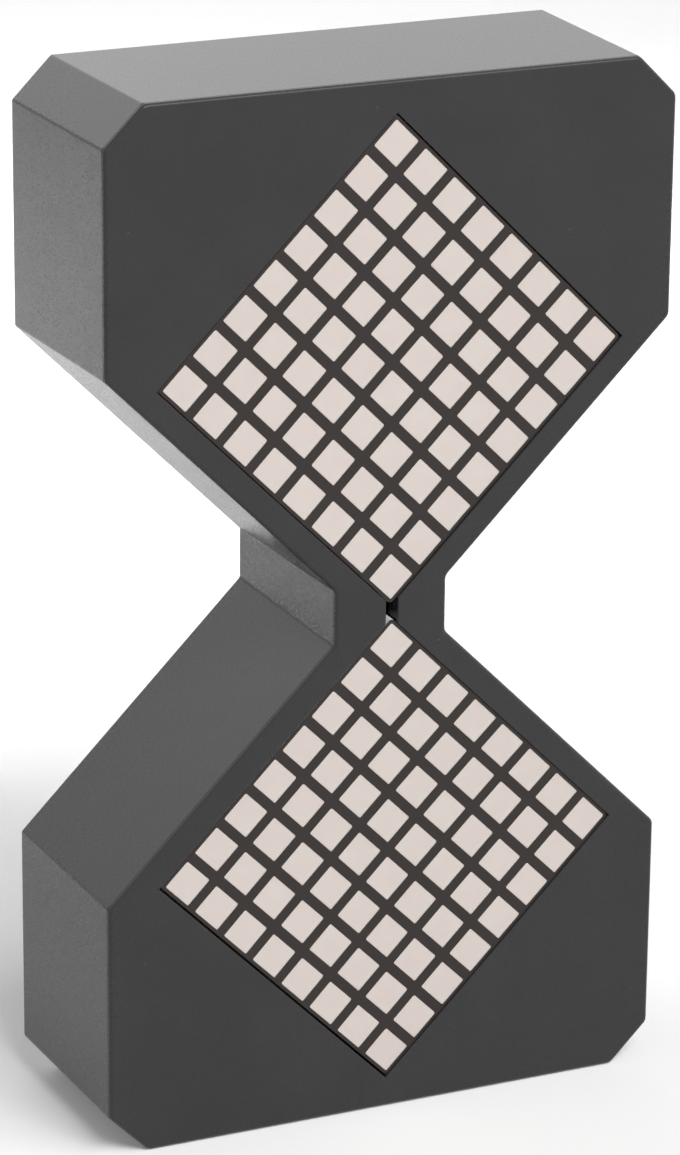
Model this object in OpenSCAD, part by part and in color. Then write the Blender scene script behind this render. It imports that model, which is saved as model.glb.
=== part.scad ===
// Digital hourglass timer: two square dot matrix displays stand on their corners in an hourglass case.
// X runs to the right, Y from front to back, Z up. The origin is under the middle of the foot.
// Depths are measured back from the front of the panel, heights up or down from the neck.

/* [Displays] */
// Distance from one light window to the next
dot_pitch = 4; // [3.6:0.1:4.6]
// Light windows along each side of a display
dots_per_side = 8; // [7:1:10]
// Side of one light window
window_side = 3; // [2.4:0.1:3.3]
// Radius on the corners of a light window
window_radius = 0.3; // [0.1:0.05:0.8]
// Clearance between a moulded insert, such as a light window, and what it sits in
insert_fit = 0.02; // [0.01:0.01:0.05]
// Face left between the outer windows and the edge of a display
display_border = 0.4; // [0.3:0.1:1.5]
// Depth of a display from its face to its back
display_depth = 6.6; // [5:0.2:10]
// Distance from the front of the panel back to a display's face
display_recess = 0.2; // [0.05:0.05:0.5]
// Gap between the tips of the two displays at the neck
tip_gap = 1.15; // [0.6:0.05:3]
// Thickness of the small board inside each display
matrix_board_thick = 1.2; // [0.8:0.1:1.6]
// Wall of the display shell around its small board
matrix_wall = 1; // [0.8:0.1:1.5]
// Distance from one display pin to the next
pin_pitch = 2.54; // [2:0.02:2.54]
// Distance between the two rows of display pins
pin_row_spacing = 24; // [20:0.5:25]
// Diameter of a display pin
pin_diameter = 0.5; // [0.4:0.05:0.7]
// Length of pin that stands behind the display board
pin_tail = 1; // [0.6:0.1:1.5]

/* [Case outline] */
// Thickness of the case walls
wall = 2; // [1.6:0.1:3]
// Gap between a display's edge and the slanted wall beside it
slant_gap = 0.42; // [0.3:0.02:3]
// Gap between a display's outer corner and the side wall
side_gap = 2.8; // [1.5:0.1:8]
// Gap between a display's outer tip and the end wall
end_gap = 0.95; // [0.4:0.05:6]
// Height of the straight part of the neck
neck_height = 5.2; // [3:0.2:10]
// Chamfer on the four outer corners
corner_chamfer = 3.7; // [2.5:0.1:6]
// Radius on the corners of the outline
edge_radius = 0.9; // [0.3:0.1:1.5]
// Angle at which the sides widen towards the back
draft_angle = 1.45; // [0.5:0.05:2.5]

/* [Panel, front wall and back cover] */
// Thickness of the front panel
panel_thick = 0.4; // [0.3:0.05:1]
// Thickness of the adhesive film behind the panel
tape_thick = 0.15; // [0.1:0.05:0.4]
// Distance that the film stays back from the edges of the panel
tape_inset = 0.35; // [0.2:0.05:0.8]
// Thickness of the housing's front wall
front_wall = 1.5; // [1:0.1:2.5]
// Gap around a display in the panel and the front wall
opening_gap = 0.22; // [0.1:0.02:0.4]
// Width of the slot that joins the two openings at the neck
slot_width = 1.2; // [0.8:0.1:3]
// Thickness of the back cover
cover_thick = 2; // [1.8:0.1:3]
// Wall of the housing around the back cover
mouth_wall = 1; // [0.8:0.05:1.2]
// Gap around the back cover
cover_gap = 0.15; // [0.1:0.05:0.3]

/* [Bosses and screws] */
// Diameter of the bosses that take the cover screws
cover_boss_diameter = 6; // [5:0.2:7]
// Gap from a cover boss to the walls beside it
cover_boss_gap = 1.2; // [0.8:0.1:2.5]
// Thickness of the ribs that tie the bosses to the walls
rib_thick = 1.2; // [0.8:0.1:1.6]
// Diameter of the cover screws
cover_screw_diameter = 2.2; // [1.8:0.1:2.6]
// Length of cover screw that sits in its boss
cover_screw_grip = 7; // [4:0.5:10]
// Diameter of the cover screw heads
cover_head_diameter = 4; // [3.4:0.1:4.6]
// Height of the cover screw heads
cover_head_height = 1.1; // [0.8:0.1:1.2]
// Distance that the cover screw heads lie below the back
cover_head_recess = 0.15; // [0.05:0.05:0.3]
// Diameter of the bosses and standoffs that carry the boards
board_boss_diameter = 4.6; // [4:0.2:6]
// Diameter of the board screws
board_screw_diameter = 1.8; // [1.4:0.1:2.2]
// Length of board screw that sits in its boss
board_screw_grip = 3; // [2:0.1:3.4]
// Diameter of the board screw heads
board_head_diameter = 3.4; // [2.8:0.1:4]
// Height of the board screw heads
board_head_height = 0.9; // [0.6:0.1:1]
// Distance of the display board's screws from the middle
board_screw_spread = 12; // [9:0.5:13]
// Distance of the display board's screws from the end walls
board_screw_inset = 4; // [3.2:0.1:5]
// Clearance between a screw and its pilot hole
screw_fit = 0.05; // [0.02:0.01:0.1]
// Clearance around a screw in a board or in the cover
screw_clearance = 0.2; // [0.1:0.05:0.3]

/* [Boards] */
// Thickness of the display board and the control board
board_thick = 1.6; // [1:0.1:2]
// Gap between a board's edge and what is beside it
board_gap = 0.5; // [0.3:0.1:0.8]
// Space between the display drivers and the control board
board_spacing = 1.2; // [1.1:0.1:3]
// Width of the control board
control_board_width = 32; // [31:0.5:36]
// Height of the control board
control_board_height = 25; // [24.6:0.2:27]
// Distance from the lower display's middle down to the control board's middle
control_board_drop = 6.4; // [5.8:0.2:7]
// Distance of the control board's screws from its edges
control_screw_inset = 2.5; // [2.2:0.1:2.8]

/* [Controls] */
// Distance of the switch and the button from the middle
control_spread = 9.5; // [9.3:0.1:10]
// Height of the switch and the button above the control board's middle
control_rise = 1; // [0.6:0.1:1.6]
// Length of the power switch's case
switch_length = 9; // [8:0.1:9.4]
// Width of the power switch's case
switch_width = 4; // [3.4:0.1:4.6]
// Height of the power switch's case
switch_height = 3.4; // [2.8:0.1:3.6]
// Length of the power switch's knob, along its travel
knob_length = 2.6; // [2:0.1:3]
// Width of the power switch's knob
knob_width = 2; // [1.6:0.1:2.2]
// Travel of the power switch's knob
knob_travel = 2; // [1.5:0.1:2.5]
// Depth of the knob's foot in its case
knob_foot = 1.2; // [0.8:0.1:1.6]
// Gap around the knob in its case and in the cover
knob_gap = 0.2; // [0.15:0.05:0.3]
// Distance that the knob stays below the back
knob_recess = 0.3; // [0.2:0.05:0.5]
// Depth of the finger dish around the knob
dish_depth = 1; // [0.6:0.1:1.2]
// Room in the finger dish at each end of the knob's slot
dish_end_room = 3; // [2:0.25:4]
// Room in the finger dish on each side of the knob
dish_side_room = 1.8; // [1:0.1:2.5]
// Diameter of the set button's cap
cap_diameter = 6; // [5:0.2:6.4]
// Width of the flange that keeps the cap behind the cover
cap_flange = 0.9; // [0.6:0.1:1.1]
// Thickness of the cap's flange
cap_flange_thick = 0.8; // [0.6:0.1:1.2]
// Gap around the cap
cap_gap = 0.2; // [0.15:0.05:0.3]
// Distance that the cap stays below the back
cap_recess = 0.2; // [0.1:0.05:0.4]
// Travel of the set button
button_travel = 0.3; // [0.2:0.05:0.5]
// Side of the square switch under the cap
button_switch_side = 6; // [5.4:0.1:6.4]
// Height of the square switch under the cap
button_switch_height = 3.1; // [2.9:0.1:3.6]
// Height of the plunger above the square switch
plunger_height = 0.75; // [0.7:0.05:1]
// Diameter of the plunger
plunger_diameter = 3.4; // [2.8:0.1:3.6]
// Length of the plunger inside the square switch
plunger_foot = 0.8; // [0.6:0.1:1.2]
// Side of the square buzzer
buzzer_side = 7.5; // [6.5:0.1:7.8]
// Height of the buzzer
buzzer_height = 3; // [2:0.1:3.5]
// Diameter of the sound holes in the cover
sound_hole_diameter = 1; // [0.8:0.1:1.4]
// Distance of the outer sound holes from the middle one
sound_hole_spacing = 2; // [1.8:0.1:2.4]

/* [Charging port] */
// Distance from the control board's middle down to the port's middle
port_drop = 8; // [7.6:0.1:8.6]
// Outer width of the port
port_width = 8.94; // [8:0.02:9.4]
// Outer height of the port
port_height = 3.26; // [3:0.02:3.6]
// Thickness of the port's sheet metal
port_wall = 0.3; // [0.2:0.02:0.4]
// Distance that the port stays below the back
port_recess = 0.4; // [0.2:0.05:1]
// Gap around the port in the cover
port_gap = 0.2; // [0.15:0.05:0.4]
// Width of the tongue in the port
tongue_width = 6.69; // [6:0.01:6.9]
// Thickness of the tongue in the port
tongue_thick = 0.7; // [0.5:0.05:0.9]
// Distance that the tongue stays below the port's mouth
tongue_recess = 0.6; // [0.4:0.05:1]
// Thickness of the moulded base of the tongue
tongue_base = 1.4; // [1:0.1:2]

/* [Battery] */
// Width of the battery
battery_width = 30; // [24:0.5:31]
// Height of the battery
battery_height = 20; // [16:0.5:21]
// Thickness of the battery
battery_thick = 5; // [4:0.1:6]
// Radius on the battery's corners
battery_radius = 1.2; // [0.5:0.1:2]
// Distance from the upper display's middle up to the battery's middle
battery_rise = 4; // [3.5:0.1:6]
// Thickness of the foam pad between the battery and the cover
battery_pad_thick = 0.8; // [0.5:0.1:1]
// Diameter of a battery lead
lead_diameter = 1; // [0.8:0.1:1.3]
// Distance between the battery leads
lead_spacing = 2; // [1.6:0.1:2.5]
// Distance from the control board's middle up to the battery header's middle
header_rise = 9; // [8.6:0.1:9.4]
// Width of the battery header
header_width = 7.6; // [7:0.1:8]
// Length of the battery header
header_length = 5.5; // [5:0.1:6]
// Height of the battery header
header_height = 4; // [3.6:0.1:4.4]
// Wall of the battery header
header_wall = 0.6; // [0.5:0.05:0.8]
// Clearance around the plug in its header
plug_fit = 0.1; // [0.05:0.05:0.15]
// Length of the plug that stands out of the header
plug_grip = 1.2; // [0.8:0.1:2]

/* [Ribbon cable] */
// Distance from the control board's middle down to the ribbon cable's middle
cable_drop = 3.5; // [3.4:0.05:3.7]
// Distance of the cable's connectors from the middle
cable_offset = 8; // [7.4:0.1:8.4]
// Width of the ribbon cable
cable_width = 6; // [5:0.1:6.6]
// Thickness of the ribbon cable
cable_thick = 0.3; // [0.2:0.05:0.4]
// Straight length of cable between a connector and the fold
cable_run = 1; // [0.6:0.1:1.4]
// Length of a cable connector along the cable
connector_length = 4.6; // [4:0.1:5]
// Width of a cable connector across the cable
connector_width = 8; // [7.4:0.1:8.4]
// Height of a cable connector
connector_height = 1; // [0.8:0.05:1.1]

/* [Chips] */
// Length of a display driver
driver_length = 15.4; // [12:0.1:15.6]
// Width of a display driver
driver_width = 7.5; // [6:0.1:7.6]
// Height of a display driver
driver_height = 2.3; // [1.5:0.1:2.5]
// Span of a display driver over its leads
driver_span = 9.9; // [9:0.1:10]
// Length of the controller
controller_length = 6.5; // [5:0.1:6.6]
// Width of the controller
controller_width = 4.4; // [3.8:0.1:4.6]
// Height of the controller
controller_height = 1; // [0.8:0.1:1.4]
// Span of the controller over its leads
controller_span = 6.4; // [6:0.1:6.6]
// Length of the charger chip
charger_length = 2.9; // [2.5:0.1:3.2]
// Width of the charger chip
charger_width = 1.6; // [1.4:0.1:1.8]
// Height of the charger chip
charger_height = 1.1; // [0.8:0.1:1.3]
// Span of the charger chip over its leads
charger_span = 2.8; // [2.6:0.1:3]
// Distance from one lead of a display driver to the next
driver_lead_pitch = 1.27; // [0.8:0.01:1.27]
// Leads along each side of a display driver
driver_leads = 12; // [8:1:12]
// Distance from one lead of the controller to the next
controller_lead_pitch = 0.65; // [0.4:0.01:0.65]
// Leads along each side of the controller
controller_leads = 10; // [6:1:10]
// Distance from one lead of the charger chip to the next
charger_lead_pitch = 0.95; // [0.6:0.01:0.95]
// Leads along each side of the charger chip
charger_leads = 3; // [2:1:3]
// Thickness of a chip's leads
lead_thick = 0.15; // [0.1:0.01:0.2]
// Gap under a chip's body
chip_standoff = 0.1; // [0.05:0.05:0.2]
// Distance of the controller from the middle
controller_offset = 8.2; // [8.1:0.1:8.4]
// Distance from the control board's middle down to the controller's middle
controller_drop = 5; // [4.8:0.1:5.4]
// Distance of the charger chip from the middle
charger_offset = 8; // [7:0.1:8.5]
// Distance from the control board's middle down to the charger chip's middle
charger_drop = 6; // [5.5:0.1:8]
// Distance of the motion sensor from the middle
sensor_offset = 12.1; // [11.8:0.1:13]
// Distance from the control board's middle down to the motion sensor's middle
sensor_drop = 5; // [4.5:0.1:5.4]
// Side of the motion sensor
sensor_side = 3; // [2.5:0.1:3.4]
// Height of the motion sensor
sensor_height = 0.9; // [0.7:0.1:1.1]
// Length of a small resistor or capacitor
passive_length = 1.6; // [1:0.1:2]
// Width of a small resistor or capacitor
passive_width = 0.8; // [0.5:0.1:1]
// Height of a small resistor or capacitor
passive_height = 0.7; // [0.4:0.05:0.9]

/* [Hidden] */
$fn = 48;

// Colours
case_grey = "#454547";
face_grey = "#3e3a38";
window_white = "#dcd3cb";
film_black = "#1b1a1a";
board_green = "#1f5a3a";
chip_black = "#232326";
steel = "#b9bcc0";
tin = "#d0d0cc";
cream = "#e8e2d2";
foil = "#c9ced4";
lead_red = "#b3261e";
capacitor_tan = "#a98b5e";

// Steps in each rounded corner of the case and of a light window
corner_steps = 4;
window_steps = 2;
// Overshoot of a cut past the face that it opens
cut = 1;
// Shares of a screw head taken by its cross recess: length and width of a bar
cross_length_share = 0.6;
cross_width_share = 0.2;
// Share of the lead pitch that a chip's lead fills
lead_width_share = 0.4;
// Small parts on each side of the battery header
passives_per_side = 3;
// Holes in the outer ring of sound holes
sound_ring = 6;
// Grip grooves on the knob
knob_grooves = 3;

// Displays seen from the front
display_side = (dots_per_side - 1) * dot_pitch + window_side + 2 * display_border;
display_rise = display_side / sqrt(2) + tip_gap / 2;
opening_side = display_side + 2 * opening_gap;
opening_tip = display_rise - opening_side / sqrt(2);

// Case outline
half_width = display_side / sqrt(2) + side_gap + wall;
half_height = display_rise + display_side / sqrt(2) + end_gap + wall;
slant_reach = display_side / 2 + slant_gap + wall;
neck_half_width = slant_reach * sqrt(2) - display_rise + neck_height / 2;

// Depths from front to back
housing_front = panel_thick + tape_thick;
cavity_front = housing_front + front_wall;
matrix_board_front = display_recess + display_depth - matrix_board_thick;
display_back = display_recess + display_depth;
display_board_back = display_back + board_thick;
driver_back = display_board_back + chip_standoff + driver_height;
control_board_front = driver_back + board_spacing;
control_board_back = control_board_front + board_thick;
button_switch_back = control_board_back + button_switch_height;
cap_front = button_switch_back + plunger_height;
cover_front = cap_front + cap_flange_thick + cap_gap;
case_depth = cover_front + cover_thick;
battery_back = cover_front - battery_pad_thick;
battery_front = battery_back - battery_thick;

// Places seen from the front, measured from the middle of the neck
cover_boss_inset = wall + cover_boss_gap + cover_boss_diameter / 2;
cover_boss_x = half_width - cover_boss_inset;
cover_boss_rise = half_height - cover_boss_inset;
board_screw_rise = half_height - wall - board_screw_inset;
control_middle = -display_rise - control_board_drop;
control_screw_x = control_board_width / 2 - control_screw_inset;
control_screw_rise = control_board_height / 2 - control_screw_inset;
switch_at = [-control_spread, control_middle + control_rise];
button_at = [control_spread, control_middle + control_rise];
buzzer_at = [0, control_middle];
port_at = [0, control_middle - port_drop];
header_at = [0, control_middle + header_rise];
battery_at = [0, display_rise + battery_rise];
cable_at = [cable_offset, control_middle - cable_drop];
controller_at = [-controller_offset, control_middle - controller_drop];
charger_at = [charger_offset, control_middle - charger_drop];
sensor_at = [sensor_offset, control_middle - sensor_drop];

// Parts of the plug and its header
header_cavity_width = header_width - 2 * header_wall;
header_cavity_height = header_height - 2 * header_wall;
plug_width = header_cavity_width - 2 * plug_fit;
plug_thick = header_cavity_height - 2 * plug_fit;
plug_front = control_board_back + header_wall + plug_fit;
plug_foot = header_at.y - header_length / 2 + header_wall + plug_fit;
plug_top = header_at.y + header_length / 2 + plug_grip;
lead_depth = plug_front + plug_thick / 2;

// Outward growth of the drafted walls at a depth
function growth(depth) = (depth - housing_front) * tan(draft_angle);

// Corners of the case outline, set out by the draft and in by a wall.
// The end faces stand square, so the draft moves only the sides, the slants and the neck.
function outline(out, inset) =
    let (
        side = half_width + out - inset,
        end = half_height - inset,
        chamfer = corner_chamfer - inset * (2 - sqrt(2)),
        crossing = (slant_reach + out - inset) * sqrt(2) - display_rise,
        neck = neck_half_width + out - inset,
        right = [
            [side - chamfer, end],
            [side, end - chamfer],
            [side, side - crossing],
            [neck, neck - crossing],
            [neck, crossing - neck],
            [side, crossing - side],
            [side, chamfer - end],
            [side - chamfer, -end]
        ]
    )
    concat(right, [for (i = [len(right) - 1 : -1 : 0]) [-right[i].x, right[i].y]]);

function unit(v) = v / norm(v);

// Angle brought between -180 and 180 degrees
function nearest_turn(angle) = angle - 360 * round(angle / 360);

// Outline with an arc in place of each corner
function rounded(points, radius, steps) = [
    for (i = [0 : len(points) - 1])
        let (
            corner = points[i],
            back = unit(points[(i + len(points) - 1) % len(points)] - corner),
            ahead = unit(points[(i + 1) % len(points)] - corner),
            half_angle = acos(back * ahead) / 2,
            centre = corner + unit(back + ahead) * radius / sin(half_angle),
            first = corner + back * radius / tan(half_angle) - centre,
            last = corner + ahead * radius / tan(half_angle) - centre,
            start = atan2(first.y, first.x),
            sweep = nearest_turn(atan2(last.y, last.x) - start)
        )
        for (k = [0 : steps])
            centre + radius * [cos(start + sweep * k / steps), sin(start + sweep * k / steps)]
];

function case_outline(out, inset) = rounded(outline(out, inset), edge_radius, corner_steps);

// Flat piece between two depths, drawn as seen from the front
module slab(near, far) {
    translate([0, far - case_depth / 2, half_height])
        rotate([90, 0, 0])
            linear_extrude(far - near)
                children();
}

// Solid between two outlines of equal point count at two depths
module loft(near_outline, far_outline, near, far) {
    count = len(near_outline);
    points = concat(
        [for (p = near_outline) [p.x, near - case_depth / 2, p.y + half_height]],
        [for (p = far_outline) [p.x, far - case_depth / 2, p.y + half_height]]
    );
    sides = [for (i = [0 : count - 1]) [i, count + i, count + (i + 1) % count, (i + 1) % count]];
    front = [for (i = [0 : count - 1]) i];
    rear = [for (i = [count - 1 : -1 : 0]) count + i];
    polyhedron(points = points, faces = concat([front, rear], sides));
}

// Hourglass block whose sides follow the draft, cut square at the front and the back
module drafted_block(near, far) {
    start = near - cut;
    end = far + cut;
    intersection() {
        loft(case_outline(growth(start), 0), case_outline(growth(end), 0), start, end);
        slab(near, far)
            square(4 * half_height, center = true);
    }
}

module rounded_rectangle(width, height, radius, steps) {
    x = width / 2;
    y = height / 2;
    polygon(rounded([[x, y], [x, -y], [-x, -y], [-x, y]], radius, steps));
}

module stadium(length, width) {
    square([length - width, width], center = true);
    for (end = [-1, 1])
        translate([end * (length - width) / 2, 0])
            circle(d = width);
}

// Place on the upper (1) or lower (-1) display, turned onto its corner
module on_display(which) {
    translate([0, which * display_rise])
        rotate(45)
            children();
}

module window_grid(side) {
    middle = (dots_per_side - 1) / 2;
    for (column = [0 : dots_per_side - 1])
        for (row = [0 : dots_per_side - 1])
            translate([(column - middle) * dot_pitch, (row - middle) * dot_pitch])
                rounded_rectangle(side, side, window_radius, window_steps);
}

module pin_grid(diameter) {
    middle = (dots_per_side - 1) / 2;
    for (row = [-1, 1])
        for (k = [0 : dots_per_side - 1])
            translate([row * pin_row_spacing / 2, (k - middle) * pin_pitch])
                circle(d = diameter);
}

// Two diamond openings joined by the neck slot
module openings(clearance) {
    for (which = [1, -1])
        on_display(which)
            square(opening_side + 2 * clearance, center = true);
    square([slot_width + 2 * clearance, 2 * opening_tip + slot_width], center = true);
}

module four_corners(x, rise) {
    for (side = [-1, 1])
        for (end = [-1, 1])
            translate([side * x, end * rise])
                children();
}

module cover_bosses() {
    four_corners(cover_boss_x, cover_boss_rise)
        children();
}

module display_screws() {
    four_corners(board_screw_spread, board_screw_rise)
        children();
}

module control_screws() {
    translate([0, control_middle])
        four_corners(control_screw_x, control_screw_rise)
            children();
}

// Cross recess in a screw head
module cross(diameter) {
    bar = [diameter * cross_length_share, diameter * cross_width_share];
    square(bar, center = true);
    square([bar.y, bar.x], center = true);
}

module front_panel() {
    color(case_grey)
        slab(0, panel_thick)
            difference() {
                polygon(case_outline(0, 0));
                openings(0);
            }
}

module panel_tape() {
    color(film_black)
        slab(panel_thick, housing_front)
            difference() {
                polygon(case_outline(0, tape_inset));
                openings(tape_inset);
            }
}

// Bosses for the cover with ribs to the walls, and short bosses for the display board
module housing_bosses() {
    rib_reach = cover_boss_inset - wall / 2;
    slab(cavity_front, cover_front)
        cover_bosses()
            circle(d = cover_boss_diameter);
    for (side = [-1, 1])
        for (end = [-1, 1])
            slab(cavity_front, display_back)
                translate([side * cover_boss_x, end * cover_boss_rise]) {
                    translate([side * rib_reach / 2, 0])
                        square([rib_reach, rib_thick], center = true);
                    translate([0, end * rib_reach / 2])
                        square([rib_thick, rib_reach], center = true);
                }
    slab(cavity_front, display_back)
        display_screws()
            circle(d = board_boss_diameter);
}

module housing() {
    color(case_grey)
        difference() {
            union() {
                difference() {
                    drafted_block(housing_front, case_depth);
                    slab(cavity_front, case_depth + cut)
                        polygon(case_outline(0, wall));
                }
                housing_bosses();
            }
            slab(housing_front - cut, cavity_front + cut)
                openings(0);
            slab(cover_front, case_depth + cut)
                polygon(case_outline(growth(case_depth), mouth_wall));
            slab(cover_front - cover_screw_grip - cut, cover_front + cut)
                cover_bosses()
                    circle(d = cover_screw_diameter + 2 * screw_fit);
            slab(display_back - board_screw_grip - screw_clearance, display_back + cut)
                display_screws()
                    circle(d = board_screw_diameter + 2 * screw_fit);
        }
}

// White moulded shell with a light well behind each window
module matrix_shell(which) {
    color(face_grey) {
        slab(display_recess, matrix_board_front)
            on_display(which)
                difference() {
                    square(display_side, center = true);
                    window_grid(window_side + 2 * insert_fit);
                }
        slab(matrix_board_front, display_back)
            on_display(which)
                difference() {
                    square(display_side, center = true);
                    square(display_side - 2 * matrix_wall, center = true);
                }
    }
}

module matrix_windows(which) {
    color(window_white)
        slab(display_recess, matrix_board_front)
            on_display(which)
                window_grid(window_side);
}

module matrix_board(which) {
    color(board_green)
        slab(matrix_board_front, display_back)
            on_display(which)
                square(display_side - 2 * matrix_wall - 2 * insert_fit, center = true);
}

module matrix_pins(which) {
    color(tin)
        slab(display_back, display_board_back + pin_tail)
            on_display(which)
                pin_grid(pin_diameter);
}

module upper_matrix_shell() {
    matrix_shell(1);
}

module upper_matrix_windows() {
    matrix_windows(1);
}

module upper_matrix_board() {
    matrix_board(1);
}

module upper_matrix_pins() {
    matrix_pins(1);
}

module lower_matrix_shell() {
    matrix_shell(-1);
}

module lower_matrix_windows() {
    matrix_windows(-1);
}

module lower_matrix_board() {
    matrix_board(-1);
}

module lower_matrix_pins() {
    matrix_pins(-1);
}

// Hourglass board that ties the two displays together through the neck
module display_board() {
    notch_x = cover_boss_x - cover_boss_diameter / 2 - board_gap;
    notch_rise = cover_boss_rise - cover_boss_diameter / 2 - board_gap;
    color(board_green)
        slab(display_back, display_board_back)
            difference() {
                polygon(case_outline(0, wall + board_gap));
                for (side = [-1, 1])
                    for (end = [-1, 1])
                        translate([side * (notch_x + half_width / 2), end * (notch_rise + half_height / 2)])
                            square([half_width, half_height], center = true);
                for (which = [1, -1])
                    on_display(which)
                        pin_grid(pin_diameter + 2 * screw_clearance);
                display_screws()
                    circle(d = board_screw_diameter + 2 * screw_clearance);
            }
}

module display_board_screws() {
    color(steel) {
        slab(display_back - board_screw_grip, display_board_back)
            display_screws()
                circle(d = board_screw_diameter);
        slab(display_board_back, display_board_back + board_head_height)
            display_screws()
                difference() {
                    circle(d = board_head_diameter);
                    cross(board_head_diameter);
                }
    }
}

// Chip with gull-wing leads that stands on a board's back face
module chip(board_back, at, length, width, height, span, lead_pitch, leads_per_side) {
    lead_width = lead_pitch * lead_width_share;
    bend = (width + span) / 4;
    lead_rise = chip_standoff + height / 2;
    slab(board_back + chip_standoff, board_back + chip_standoff + height)
        translate(at)
            square([length, width], center = true);
    for (k = [0 : leads_per_side - 1])
        for (side = [-1, 1])
            translate([at.x + (k - (leads_per_side - 1) / 2) * lead_pitch - lead_width / 2, 0, 0])
                translate([0, board_back - case_depth / 2, at.y + half_height])
                    rotate([90, 0, 90])
                        linear_extrude(lead_width)
                            polygon([
                                [lead_rise, side * width / 2],
                                [lead_rise, side * bend],
                                [0, side * (bend + lead_thick)],
                                [0, side * span / 2],
                                [lead_thick, side * span / 2],
                                [lead_thick, side * (bend + 2 * lead_thick)],
                                [lead_rise + lead_thick, side * (bend + lead_thick)],
                                [lead_rise + lead_thick, side * width / 2]
                            ]);
}

module driver_chips() {
    color(chip_black)
        for (which = [1, -1])
            chip(display_board_back, [0, which * display_rise],
                driver_length, driver_width, driver_height,
                driver_span, driver_lead_pitch, driver_leads);
}

module display_capacitors() {
    offset_x = driver_length / 2 + 2 * passive_width;
    color(capacitor_tan)
        slab(display_board_back, display_board_back + passive_height)
            for (which = [1, -1])
                for (side = [-1, 1])
                    translate([side * offset_x, which * display_rise])
                        square([passive_width, passive_length], center = true);
}

module connector(near, far) {
    color(cream)
        slab(near, far)
            translate(cable_at)
                square([connector_length, connector_width], center = true);
}

module display_connector() {
    connector(display_board_back, display_board_back + connector_height);
}

module control_connector() {
    connector(control_board_front - connector_height, control_board_front);
}

// Ribbon that folds once between the two boards, drawn in plan and extruded over its width
module flat_cable() {
    near = display_board_back + connector_height / 2;
    far = control_board_front - connector_height / 2;
    fold_radius = (far - near) / 2;
    fold_x = cable_at.x + connector_length / 2 + cable_run;
    fold_y = (near + far - case_depth) / 2;
    cable_foot = half_height + cable_at.y - cable_width / 2;
    color(film_black)
        translate([fold_x, fold_y, cable_foot])
            linear_extrude(cable_width) {
                for (face = [-1, 1])
                    translate([-cable_run, face * fold_radius - cable_thick / 2])
                        square([cable_run, cable_thick]);
                difference() {
                    circle(r = fold_radius + cable_thick / 2);
                    circle(r = fold_radius - cable_thick / 2);
                    translate([-4 * fold_radius, -2 * fold_radius])
                        square(4 * fold_radius);
                }
            }
}

module control_board() {
    color(board_green)
        slab(control_board_front, control_board_back)
            difference() {
                intersection() {
                    polygon(case_outline(0, wall + board_gap));
                    translate([0, control_middle])
                        square([control_board_width, control_board_height], center = true);
                }
                cover_bosses()
                    circle(d = cover_boss_diameter + 2 * board_gap);
                control_screws()
                    circle(d = board_screw_diameter + 2 * screw_clearance);
            }
}

module control_board_screws() {
    color(steel) {
        slab(control_board_front, control_board_back + board_screw_grip)
            control_screws()
                circle(d = board_screw_diameter);
        slab(control_board_front - board_head_height, control_board_front)
            control_screws()
                difference() {
                    circle(d = board_head_diameter);
                    cross(board_head_diameter);
                }
    }
}

module controller_chip() {
    color(chip_black)
        chip(control_board_back, controller_at,
            controller_length, controller_width, controller_height,
            controller_span, controller_lead_pitch, controller_leads);
}

module charger_chip() {
    color(chip_black)
        chip(control_board_back, charger_at,
            charger_length, charger_width, charger_height,
            charger_span, charger_lead_pitch, charger_leads);
}

module motion_sensor() {
    color(chip_black)
        slab(control_board_back, control_board_back + sensor_height)
            translate(sensor_at)
                square(sensor_side, center = true);
}

// Two rows of small parts beside the battery header
module control_passives() {
    first_x = header_width / 2 + passive_length;
    color(capacitor_tan)
        slab(control_board_back, control_board_back + passive_height)
            for (side = [-1, 1])
                for (k = [0 : passives_per_side - 1])
                    translate([side * (first_x + k * 2 * passive_width), header_at.y])
                        square([passive_width, passive_length], center = true);
}

module buzzer() {
    sound_depth = buzzer_height / 2;
    color(chip_black) {
        slab(control_board_back, control_board_back + buzzer_height - sound_depth)
            translate(buzzer_at)
                square(buzzer_side, center = true);
        slab(control_board_back + buzzer_height - sound_depth, control_board_back + buzzer_height)
            translate(buzzer_at)
                difference() {
                    square(buzzer_side, center = true);
                    circle(d = sound_hole_diameter * 2);
                }
    }
}

module port_shell() {
    color(steel)
        slab(control_board_back, case_depth - port_recess)
            translate(port_at)
                difference() {
                    stadium(port_width, port_height);
                    stadium(port_width - 2 * port_wall, port_height - 2 * port_wall);
                }
}

module port_tongue() {
    inner = port_wall + insert_fit;
    color(chip_black) {
        slab(control_board_back, control_board_back + tongue_base)
            translate(port_at)
                stadium(port_width - 2 * inner, port_height - 2 * inner);
        slab(control_board_back + tongue_base, case_depth - port_recess - tongue_recess)
            translate(port_at)
                square([tongue_width, tongue_thick], center = true);
    }
}

module switch_body() {
    slot_front = control_board_back + switch_height - knob_foot - knob_gap;
    color(steel) {
        slab(control_board_back, slot_front)
            translate(switch_at)
                square([switch_length, switch_width], center = true);
        slab(slot_front, control_board_back + switch_height)
            translate(switch_at)
                difference() {
                    square([switch_length, switch_width], center = true);
                    knob_slot();
                }
    }
}

module knob_slot() {
    square([knob_length + knob_travel + 2 * knob_gap, knob_width + 2 * knob_gap], center = true);
}

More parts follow.
